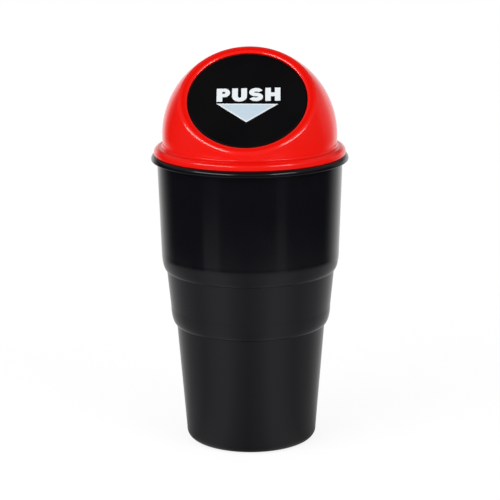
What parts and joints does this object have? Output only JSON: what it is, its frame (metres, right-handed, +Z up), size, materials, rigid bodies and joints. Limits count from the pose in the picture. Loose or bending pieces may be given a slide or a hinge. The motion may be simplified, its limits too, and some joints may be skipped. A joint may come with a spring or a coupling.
{
  "type": "car trash bin",
  "caption": "Stepped round bin for a cup holder, with a lift-off dome lid and a sprung round push flap hinged at the top of its sloping mouth.",
  "frame": {"origin": "centre of the bin's foot, on the surface that it stands on", "axes": "+Z up along the bin's axis, the sloping flap faces -Y, +X is to the right of someone who faces the flap"},
  "size_m": [0.09, 0.09, 0.1824],
  "materials": {
    "bin_plastic": "glossy injection-moulded black polypropylene",
    "lid_plastic": "glossy injection-moulded red polypropylene",
    "flap_plastic": "satin injection-moulded black polypropylene",
    "foil_print": "hot-stamped silver-white foil",
    "pin_steel": "bright drawn steel rod",
    "spring_steel": "drawn spring wire"
  },
  "bodies": {
    "bin": {"bin_body": "bin_plastic"},
    "lid": {"dome_lid": "lid_plastic", "hinge_pin": "pin_steel", "torsion_spring": "spring_steel"},
    "flap": {"push_flap": "flap_plastic", "push_arrow": "foil_print"}
  },
  "joints": [
    {"name": "lid_lift", "type": "slide", "parent": "bin", "child": "lid", "axis": [0, 0, 1], "range_m": [0, 0.04]},
    {"name": "flap_hinge", "type": "hinge", "parent": "lid", "child": "flap", "pos_m": [0, 0.00452, 0.17506], "axis": [1, 0, 0], "range_deg": [0, 75], "stiffness_Nm_per_rad": 0.017, "springref_deg": -34.38, "deforming": ["torsion_spring"]}
  ]
}
